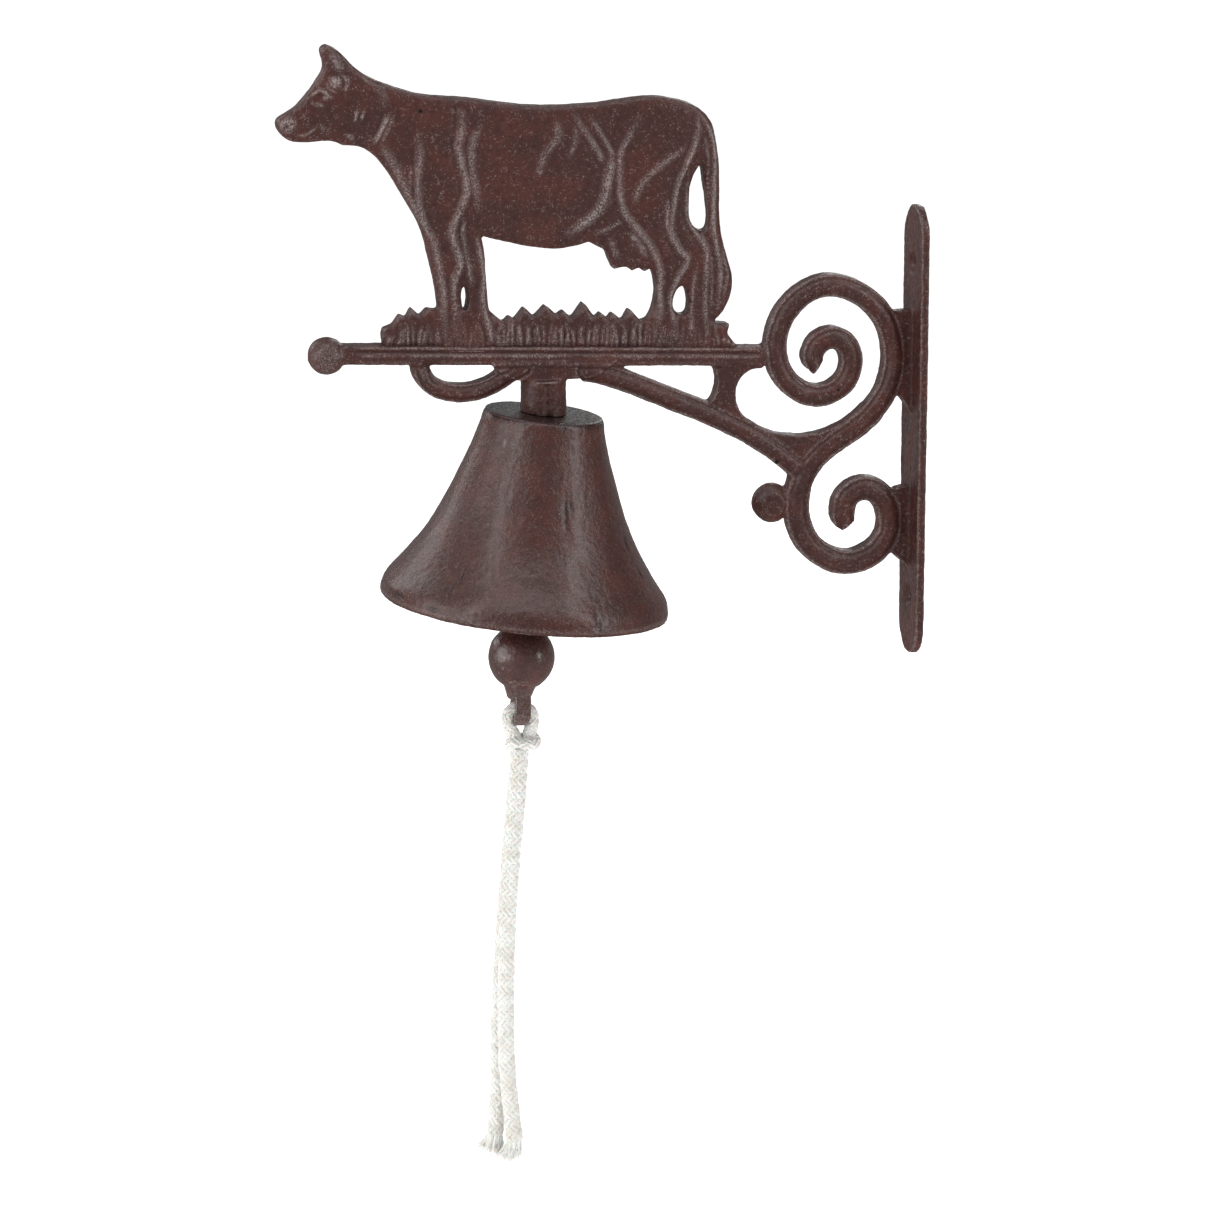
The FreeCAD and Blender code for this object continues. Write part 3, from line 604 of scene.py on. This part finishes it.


# Animal and grass: relief on both faces of the casting. Strokes are (x, z) points in
# millimetres, half width, height and how pale the crest is painted: part wear, part painted highlight.

STROKES = [
    # neck and front leg
    ([(-178.5, 110), (-178, 102), (-179, 95), (-178.5, 86), (-176.5, 79), (-173.5, 73), (-172, 66),
      (-171, 60), (-170, 53), (-170, 41)], 1.2, 0.75, 0.6),
    ([(-181, 99), (-181.5, 94), (-181.5, 89)], 0.8, 0.4, 0.4),
    ([(-191, 106.5), (-188, 101.5), (-184.5, 95), (-181.5, 88), (-177, 79)], 1.3, 0.6, 0.55),
    ([(-163.5, 117), (-164, 110), (-164.5, 104), (-162, 92), (-163, 87), (-167, 77), (-166, 71),
      (-164.5, 65), (-166.5, 58), (-166, 41)], 1.3, 0.95, 0.75),
    ([(-157.5, 112), (-159.5, 108), (-160.5, 102), (-160, 95), (-158, 84)], 1.3, 0.6, 0.5),
    ([(-163, 81), (-163.5, 75), (-161.5, 64), (-160.5, 58)], 0.8, 0.5, 0.5),
    ([(-158.5, 73), (-157, 67), (-156, 61), (-156.5, 52), (-154.5, 43), (-153, 38)], 1.2, 0.8, 0.7),
    # head
    ([(-214.5, 124.6), (-211.5, 126), (-208, 123.4)], 0.7, 0.7, 0.6),
    ([(-214, 121.5), (-211, 120.8)], 0.7, 0.45, 0.4),
    ([(-204.4, 131.2), (-202.6, 128.2), (-203.4, 125.6)], 0.6, 0.5, 0.7),
    ([(-209.4, 128.6), (-208.6, 126.2), (-206.4, 125.2)], 0.6, 0.4, 0.4),
    ([(-199.4, 118.8), (-200.2, 115.4)], 0.55, 0.55, 0.9),
    ([(-197, 118.8), (-198, 115.8)], 0.55, 0.5, 0.8),
    ([(-202.6, 110.6), (-201, 109.4)], 0.9, 0.5, 0.6),
    ([(-188.8, 117), (-191, 112), (-193.4, 108)], 0.8, 0.8, 0.95),
    ([(-187, 116.5), (-189, 112), (-191, 108)], 0.7, 0.5, 0.5),
    ([(-219.4, 110.6), (-216, 111.6), (-213.5, 113.6)], 0.7, 0.5, 0.4),
    ([(-211.6, 114.4), (-210.8, 112.4)], 0.6, 0.45, 0.5),
    ([(-208, 138.5), (-206.4, 135), (-205, 132.4)], 1.1, 0.5, 0.5),
    ([(-198.5, 131), (-192, 125.5), (-189.5, 120.5)], 1.4, 0.35, 0.2),
    # flank and belly folds
    ([(-130.5, 112.5), (-130.8, 107.5), (-135, 102.5), (-137.5, 96)], 1.4, 0.45, 0.5),
    ([(-124.5, 111), (-124.5, 106), (-126.5, 101)], 0.9, 0.35, 0.4),
    ([(-124.5, 115), (-120.5, 108.5), (-117, 103.5), (-114.5, 99)], 0.9, 0.5, 0.5),
    ([(-111.5, 101), (-112.6, 94), (-114, 87.5), (-116, 83), (-120.5, 79), (-126.5, 75)], 1.7, 0.85, 0.85),
    ([(-119, 114), (-114, 106), (-111, 101)], 0.8, 0.45, 0.5),
    ([(-112, 85), (-117, 79.5), (-123, 75.5)], 0.7, 0.35, 0.3),
    # hind quarter
    ([(-102.5, 113.5), (-106, 106.5), (-108.5, 101.5), (-109, 94.5), (-108.5, 86), (-106.5, 80),
      (-102.5, 75), (-97.5, 68.5), (-94.4, 60.5), (-94.6, 53.5), (-94.2, 46.5), (-96, 38)], 1.1, 0.75, 0.6),
    ([(-87, 102.5), (-93, 98.5), (-98, 94.5), (-101.5, 90.5), (-103.5, 85.5)], 1.2, 0.5, 0.6),
    ([(-81.5, 114), (-82, 106), (-84.5, 99), (-88, 91.5), (-89.5, 84.5), (-90.5, 74.5), (-88, 68),
      (-84.8, 64), (-88, 58), (-90.5, 51.5), (-90, 45.5), (-89, 37)], 1.1, 0.8, 0.65),
    ([(-92, 85), (-92, 77.5), (-90.5, 71)], 0.9, 0.5, 0.7),
    ([(-85, 90.5), (-84.5, 79.5), (-82, 74), (-78.5, 68), (-78, 62), (-78.5, 50), (-78, 38)], 1.0, 0.65, 0.6),
    ([(-82, 61), (-83, 50), (-83.5, 38)], 0.8, 0.5, 0.5),
    # tail
    ([(-80.5, 114.5), (-76.5, 108), (-75.2, 100.5), (-75.4, 89), (-75.6, 77), (-74.2, 67.5),
      (-73, 59), (-74, 47)], 1.0, 0.7, 0.7),
    ([(-79, 106), (-77.6, 98), (-77.5, 83), (-78, 74)], 0.6, 0.4, 0.4),
    ([(-72.4, 68), (-70.6, 58), (-72.2, 50)], 0.7, 0.4, 0.45),
    ([(-76.4, 66), (-76.2, 56), (-76.5, 46)], 0.6, 0.4, 0.4),
    # udder
    ([(-108, 78), (-117, 74.5)], 0.8, 0.5, 0.5),
    ([(-112, 72), (-109.6, 66)], 1.1, 0.5, 0.5),
    ([(-105, 74), (-99.5, 66.5)], 1.2, 0.6, 0.6),
]
# Broad swells of muscle: (x, z, half length, half height, degrees, rise in mm)
SWELLS = [(-133, 95, 24, 17, 0, 0.9), (-170, 98, 7, 20, 8, 0.6), (-90, 97, 14, 16, -20, 0.9),
          (-203, 119, 11, 6, 40, 0.5), (-104, 71, 6, 5, 0, 0.9), (-168, 62, 3.4, 14, 6, 0.5),
          (-98, 80, 6, 16, -30, 0.4)]
# Round marks: (x, z, radius, rise, paleness: part wear, part painted highlight)
KNOBS = [(-223, 114.6, 2.6, 0.8, 0.9), (-206.6, 128.6, 1.9, 1.0, 0.95), (-210, 123.4, 0.8, 0.5, 0.6)]
HOLES = [(-223.4, 114.2, 0.9, 0.9), (-211.4, 123.4, 0.9, 0.5), (-165.6, 118.4, 1.1, 0.9),
         (-166.2, 115.8, 0.6, 0.5)]


def grass_foot(x, start):
    """Height of the foot of the grass at x, falling from start towards the wall."""
    return start - (x - GRASS_START) * GRASS_FALL


def grass_strokes():
    """Blades of grass, one ridge each, leaning a little to either side."""
    rng = random.Random(11)
    strokes = []
    x = GRASS_START
    while x < GRASS_END:
        foot = grass_foot(x, 36.4)
        tall = rng.uniform(6.0, 10.5)
        if x < -186 or x > -74:
            tall = rng.uniform(3.0, 6.0)
        tilt = rng.uniform(-1.6, 1.6)
        strokes.append(([(x, foot), (x + tilt * 0.3, foot + tall * 0.5), (x + tilt, foot + tall)],
                        rng.uniform(0.5, 0.8), rng.uniform(0.45, 0.9), rng.uniform(0.2, 0.6)))
        x += rng.uniform(1.2, 2.0)
    return strokes


def stroke_field(xz, strokes):
    """How far each stroke lifts the surface at xz, in millimetres, and how pale it is painted there: part
    wear, part painted highlight.
    """
    rise = np.zeros(len(xz))
    wear_and_highlight = np.zeros(len(xz))
    for points, half, height, pale_share in strokes:
        line = eased(points, 10)
        reach = 3.2 * half
        near = np.all((xz > line.min(0) - reach) & (xz < line.max(0) + reach), axis=1)
        index = np.nonzero(near)[0]
        if not len(index):
            continue
        away = np.linalg.norm(xz[index][:, None, :] - line[None], axis=2)
        closest = away.argmin(1)
        distance = away[np.arange(len(index)), closest]
        along = closest / (len(line) - 1)
        taper = np.clip(np.minimum(along, 1 - along) / 0.12, 0.25, 1) ** 0.7
        ditch = 0.35 * np.exp(-((distance - 1.9 * half) / (0.7 * half)) ** 2)
        shape = np.exp(-(distance / half) ** 2) - ditch
        lift = height * taper * shape
        rise[index] = np.where(np.abs(lift) > np.abs(rise[index]), lift, rise[index] + 0.3 * lift)
        # Paler along the crest: part wear, part painted highlight.
        pale = pale_share * taper * np.exp(-(distance / (0.8 * half)) ** 2)
        wear_and_highlight[index] = np.maximum(wear_and_highlight[index], pale)
    return rise, wear_and_highlight


def swell_field(xz):
    rise = np.zeros(len(xz))
    for x, z, long, tall, degrees, height in SWELLS:
        turn = math.radians(degrees)
        dx, dz = xz[:, 0] - x, xz[:, 1] - z
        u = (dx * math.cos(turn) + dz * math.sin(turn)) / long
        v = (-dx * math.sin(turn) + dz * math.cos(turn)) / tall
        rise += height * np.exp(-(u ** 2 + v ** 2) * 1.2)
    return rise


def outline_distance(co, limit):
    """How far each point lies from the casting's own outline, seen from the side, up to limit."""
    rim = np.nonzero(np.abs(co[:, 1]) < 0.6)[0]
    tree = KDTree(len(rim))
    for i in rim:
        tree.insert((co[i, 0], 0, co[i, 2]), int(i))
    tree.balance()
    return np.array([min(limit, tree.find((p[0], 0, p[2]))[2]) for p in co])


def cow():
    obj = cast("cow_and_grass", ["cow_figure", "grass_strip"], COW_VOXEL, 3)
    co = points_of(obj.data) / MM
    xz = co[:, [0, 2]]
    inset = outline_distance(co, 7.0)
    dome = np.sqrt(1 - (1 - np.clip(inset / 5.0, 0, 1)) ** 2)
    foot = grass_foot(xz[:, 0], 36.6)
    in_grass = 1 / (1 + np.exp((xz[:, 1] - foot - 9.0) / 1.2))
    body = 2.5 + 1.7 * dome + swell_field(xz) * np.clip(inset / 5.0, 0, 1)
    blades = 2.5 + 0.9 * np.clip(inset / 2.0, 0, 1)
    legs = np.exp(-((xz[:, 0] + 162.5) / 9.5) ** 4) + np.exp(-((xz[:, 0] + 84.5) / 12.5) ** 4)
    blades = blades + 0.9 * np.clip(legs, 0, 1)
    half = body * (1 - in_grass) + blades * in_grass
    rise, wear_and_highlight = stroke_field(xz, STROKES)
    grass_rise, grass_wear_and_highlight = stroke_field(xz, grass_strokes())
    off_legs = (1 - 0.55 * np.clip(legs, 0, 1)) * in_grass
    rise = rise + grass_rise * off_legs
    wear_and_highlight = np.maximum(wear_and_highlight, grass_wear_and_highlight * off_legs)
    for x, z, radius, height, pale_share in KNOBS:
        near = np.exp(-(np.hypot(xz[:, 0] - x, xz[:, 1] - z) / radius) ** 4)
        rise += height * near
        wear_and_highlight = np.maximum(wear_and_highlight, pale_share * near)
    for x, z, radius, depth in HOLES:
        near = np.exp(-(np.hypot(xz[:, 0] - x, xz[:, 1] - z) / radius) ** 2)
        rise -= depth * near
        wear_and_highlight *= 1 - near
    half += rise * np.clip(inset / 1.2, 0.15, 1)
    cad_half = 4.5 + in_grass * np.clip((foot + 9 - xz[:, 1]), 0, 1)
    share = np.clip(co[:, 1] / cad_half, -1, 1)
    co[:, 1] = share * half
    set_points(obj.data, co * MM)
    smoothed(obj, 2, 0.4)
    # Paler crests of the relief and grass: part wear, part painted highlight.
    set_marks(obj.data, 0.85 * wear_and_highlight * (np.abs(share) > 0.6))
    return roughened(obj, [(5 * MM, 0.16 * MM), (1.5 * MM, 0.09 * MM)], 2)


# Bracket

BRACKET_NODES = ["wall_plate", "upper_scroll", "scroll_neck", "lower_scroll", "upper_web", "lower_web",
                 "arm_brace", "arm_post", "scroll_gusset", "top_bar", "bar_finial", "front_curl", "boss_pad",
                 "bell_boss", "scroll_bud"]


# Middle lines of the scrolls, brace and curl as (x, z) in millimetres, with the band's half width
BANDS = [
    (4.0, [(-37.6, 24.0), (-39.0, 29.2), (-36.6, 33.2), (-31.4, 34.6), (-26.4, 31.2), (-25.0, 25.2),
           (-27.4, 18.8), (-33.0, 15.0), (-40.0, 14.6), (-46.6, 18.4), (-51.4, 25.6), (-52.2, 36.0),
           (-46.6, 47.0), (-35.2, 53.2), (-23.2, 50.2), (-13.8, 41.8), (-9.8, 29.4), (-11.2, 17.8),
           (-17.0, 8.2), (-24.2, 2.0), (-33.2, -3.8), (-40.2, -10.6), (-43.8, -20.0)]),
    (4.4, [(-40.2, -10.6), (-43.8, -20.0), (-44.0, -28.4), (-41.2, -36.6), (-35.2, -42.8), (-26.2, -46.2),
           (-17.6, -44.0), (-11.4, -37.6), (-10.4, -29.4), (-13.6, -22.6), (-20.0, -19.6),
           (-26.0, -22.6), (-27.4, -28.6), (-26.2, -33.2)]),
    (3.8, [(-121.0, 26.4), (-107.6, 22.7), (-93.6, 16.7), (-79.2, 10.6), (-64.8, 3.4),
           (-53.8, -3.6), (-44.6, -11.0)]),
    (3.2, [(-178.4, 32.6), (-175.8, 24.8), (-171.0, 21.4), (-163.4, 20.2), (-155.3, 21.6),
           (-148.0, 25.6), (-142.4, 28.4)]),
]
TIPS = [((-37.6, 24.0), (-39.0, 29.2), 5.5), ((-26.2, -33.2), (-27.4, -28.6), 5.5)]


def banded(co):
    """Depth factor and paleness of a band at each point: a rounded rib between two low rims. The paleness
    along the outer rim is part wear, part painted highlight.
    """
    away = np.full(len(co), 9.0)
    for half, route in BANDS:
        line = eased([(x, 0, z) for x, z in route], 14)
        tree = KDTree(len(line))
        for i, p in enumerate(line):
            tree.insert(p, i)
        tree.balance()
        near = np.array([tree.find((p[0], 0, p[2]))[2] for p in co]) * 4.0 / half
        away = np.minimum(away, near)
    depth = np.interp(away, [0, 1.4, 2.0, 2.5, 3.0, 3.5, 4.4, 5.5],
                      [1.04, 1.04, 0.98, 0.84, 0.93, 1.0, 0.98, 1.0])
    # Paler along the outer rim: part wear, part painted highlight.
    pale = 0.38 * np.exp(-((away - 3.5) / 0.45) ** 2)
    return depth, pale


def bracket():
    obj = cast("bracket_casting", BRACKET_NODES, BRACKET_VOXEL, 4)
    co = points_of(obj.data) / MM
    for tip, inner, reach in TIPS:
        tip, inner = np.array(tip), np.array(inner)
        along = (inner - tip) / np.linalg.norm(inner - tip)
        xz = co[:, [0, 2]] - tip
        walked = xz @ along
        offset = xz - walked[:, None] * along
        close = (np.hypot(*offset.T) < 4.8) & (walked > -1.5) & (walked < reach)
        narrow = np.interp(walked, [-0.4, 0.2, 0.9, 2.2, 5.0], [0.50, 0.62, 0.74, 0.86, 1.0])
        narrow = np.where(close, narrow, 1.0)
        co[:, [0, 2]] = tip + walked[:, None] * along + offset * narrow[:, None]
    lean = math.radians(BAR_RISE)
    dx, dz = co[:, 0] - BAR_END.x, co[:, 2] - BAR_END.z
    along = dx * math.cos(lean) - dz * math.sin(lean)
    up = dx * math.sin(lean) + dz * math.cos(lean)
    on_bar = np.clip((along - 3) / 3, 0, 1) * np.clip((BAR_LENGTH - 3 - along) / 4, 0, 1) * (np.abs(up) < 4)
    ledge = np.interp(up, [-3.8, -3.0, -0.6, 0.5, 1.0, 1.7, 2.4, 3.8],
                      [0.90, 1.06, 1.10, 1.06, 0.90, 0.95, 1.16, 1.12])
    depth, pale = banded(co)
    plain = (on_bar > 0) | (co[:, 0] > PLATE_FRONT)
    depth = np.where(plain, 1.0, depth)
    pale = np.where(plain, 0.0, pale)
    co[:, 1] *= (1 + on_bar * (ledge - 1)) * depth
    # Pale streaks along the bar's ridges, broken by noise: painted highlights.
    streak = np.array([noise.noise(Vector((p[0] / 9, p[1], p[2] / 1.5))) for p in co])
    pale = pale + on_bar * np.clip(0.55 + 1.1 * streak, 0, 1) * (
        0.3 * np.exp(-((up + 2.4) / 0.6) ** 2) + 0.6 * np.exp(-((up - 0.2) / 0.5) ** 2)
        + 0.2 * np.exp(-((up - 2.8) / 0.4) ** 2))
    on_boss = ((np.abs(co[:, 0] - BOSS_MIDDLE) < BOSS_HALF)
               & (co[:, 2] < BOSS_TOP) & (co[:, 2] > BOSS_FOOT))
    flute = np.exp(-((co[:, 0] - BOSS_MIDDLE - 0.2) / 1.3) ** 2) * np.where(on_boss, 1.0, 0.0)
    co[:, 1] -= np.sign(co[:, 1]) * 1.1 * flute * (np.abs(co[:, 1]) > 5)
    set_points(obj.data, co * MM)
    # Paler paint on the finial ball: part wear, part painted highlight.
    finial = np.exp(-(np.linalg.norm(co[:, [0, 2]] - FINIAL, axis=1) / 5.5) ** 4)
    set_marks(obj.data, 0.8 * np.maximum(pale, 0.35 * finial))
    return roughened(obj, [(6 * MM, 0.20 * MM), (1.6 * MM, 0.12 * MM)], 1)


# Bell and clapper

BELL_OUTSIDE = [(19.3, 0.0), (20.5, -0.6), (21.2, -2), (22.0, -5.7), (24.8, -15), (30.7, -31), (36.2, -42.8),
                (43.1, -53.4), (48.9, -61), (50.3, -64.8), (50.5, -67.2), (50.1, -67.9)]
BELL_INSIDE = [(47.6, -67.8), (46.6, -66.6), (44.1, -60), (38.9, -51.8), (32.3, -41.8), (26.7, -29.8),
               (21.3, -14.8), (18.5, -6.5), (15.9, -4.5), (8, -4.5), (2.5, -4.5)]


# Dents and dark marks on the bell: (degrees round it from the front towards the wall, height
# below the crown, half width, half height, depth, how black), lengths in millimetres
BELL_MARKS = [
    (11, -27.2, 2.0, 2.2, -0.6, 0.65), (11, -27.2, 0.8, 1.0, 0.7, 0.0), (9, -32, 0.8, 2.8, -0.45, 0.6),
    (19, -62, 0.9, 3.6, -0.4, 0.8), (22, -57.5, 0.5, 2.0, -0.3, 0.6), (-43, -53, 0.8, 2.4, -0.35, 0.75),
    (-45, -57, 0.7, 2.0, -0.3, 0.65), (-50, -65, 3.0, 0.9, -0.3, 0.8), (-71, -64.5, 3.2, 0.9, -0.2, 0.8),
    (58, -41, 1.0, 2.6, -0.45, 0.8), (59, -50.5, 0.6, 2.0, -0.3, 0.65), (-33, -50, 0.5, 1.2, -0.2, 0.5),
    (150, -40, 0.8, 2.2, -0.3, 0.6), (-140, -56, 0.7, 2.6, -0.3, 0.6), (190, -60, 1.8, 0.8, -0.25, 0.7),
]


def bell():
    outside = eased([(2.5, 0), (10, 0), *BELL_OUTSIDE], 10)
    inside = eased(BELL_INSIDE, 8)
    profile = np.vstack([outside, inside])
    points, faces = [], []
    for k in range(BELL_TURNS):
        turn = 2 * math.pi * k / BELL_TURNS
        for r, z in profile:
            points.append((r * math.cos(turn) * MM, r * math.sin(turn) * MM, z * MM))
    rows = len(profile)
    for k in range(BELL_TURNS):
        after = (k + 1) % BELL_TURNS
        for i in range(rows):
            j = (i + 1) % rows
            faces.append((k * rows + i, k * rows + j, after * rows + j, after * rows + i))
    obj = mesh_object("bell_cup", points, faces)
    bm = bmesh.new()
    bm.from_mesh(obj.data)
    bmesh.ops.recalc_face_normals(bm, faces=bm.faces)
    bm.to_mesh(obj.data)
    bm.free()
    co = points_of(obj.data) / MM
    turn = np.degrees(np.arctan2(co[:, 0], -co[:, 1]))
    radius = np.hypot(co[:, 0], co[:, 1])
    skin = (co[:, 2] > -66) & (radius > 19) & (co[:, 2] < 0.1)
    lift, dark = np.zeros(len(co)), np.zeros(len(co))
    for angle, z, wide, tall, depth, black in BELL_MARKS:
        arc = np.radians((turn - angle + 180) % 360 - 180) * radius
        near = np.exp(-((arc / wide) ** 2 + ((co[:, 2] - z) / tall) ** 2)) * skin
        lift += depth * near
        dark = np.maximum(dark, black * near)
    # Painted reflection: the crown's flat top round the boss is made near black for the boss reflected in its
    # gloss; its edge is darkened in patches.
    painted_crown_reflection = (co[:, 2] > -0.25) & (radius < 21)
    edge = np.exp(-((radius - 20.6) / 0.7) ** 2) * (co[:, 2] > -2.4)
    dark = np.maximum(dark, np.where(painted_crown_reflection, 0.75, 0.0))
    patchy = np.array([max(0.0, noise.noise(Vector(p) / 3.5) + 0.5) for p in co]).clip(0, 1)
    dark = np.maximum(dark, 0.8 * edge * patchy)
    out = co.copy()
    out[:, 2] = 0
    out /= np.linalg.norm(out, axis=1)[:, None] + 1e-9
    set_points(obj.data, (co + out * lift[:, None]) * MM)
    # Pale ring along the outer lip: part wear, part painted highlight.
    set_marks(obj.data, 0.35 * np.exp(-((co[:, 2] + 66.4) / 0.7) ** 2) * (radius > 49), dark)
    obj.data.transform(Matrix.Translation(CROWN) @ Matrix.Rotation(math.radians(BELL_LEAN), 4, "Y"))
    return roughened(obj, [(11 * MM, 0.20 * MM), (2.4 * MM, 0.10 * MM), (1.1 * MM, 0.06 * MM)], 3)


def clapper():
    obj = cast("clapper_bob", ["clapper_ball"], BALL_VOXEL, 6)
    co = points_of(obj.data) / MM
    # Paler paint on the lug: part wear, part painted highlight.
    lug = np.clip((-84 - co[:, 2]) / 4, 0, 1)
    set_marks(obj.data, 0.28 * lug)
    return roughened(obj, [(4 * MM, 0.16 * MM), (1.3 * MM, 0.06 * MM)], 4)


camera()
studio()
cord()

iron = paint("painted_iron", (0.047, 0.0175, 0.0145), (0.068, 0.0205, 0.0155), (0.30, 0.255, 0.245),
             0.34, 0.08, specular=0.38, speckle=0.42)
bell_iron = paint("bell_paint", (0.049, 0.0190, 0.0158), (0.068, 0.0222, 0.0170), (0.24, 0.19, 0.18),
                  0.24, 0.22, specular=0.44, speckle=0.3, bump=1.25)
bob_iron = paint("clapper_paint", (0.060, 0.026, 0.022), (0.084, 0.031, 0.026), (0.26, 0.21, 0.19),
                 0.27, 0.60, specular=0.7, speckle=0.35, pits=False, bump=0.9)
dressed(bracket(), iron, "painted_iron", "bracket", *BRACKET_NODES)
dressed(cow(), iron, "painted_iron", "bracket", "cow_figure", "grass_strip")
dressed(bell(), bell_iron, "bell_paint", "bracket", "bell")
dressed(clapper(), bob_iron, "clapper_paint", "clapper", "clapper_ball")

plated = steel("dull_steel")
for node in ("crown_washer", "hanger_nut", "hanger_bolt", "clapper_link", "clapper_rod"):
    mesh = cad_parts[node].data
    mesh.materials.clear()
    mesh.materials.append(plated)
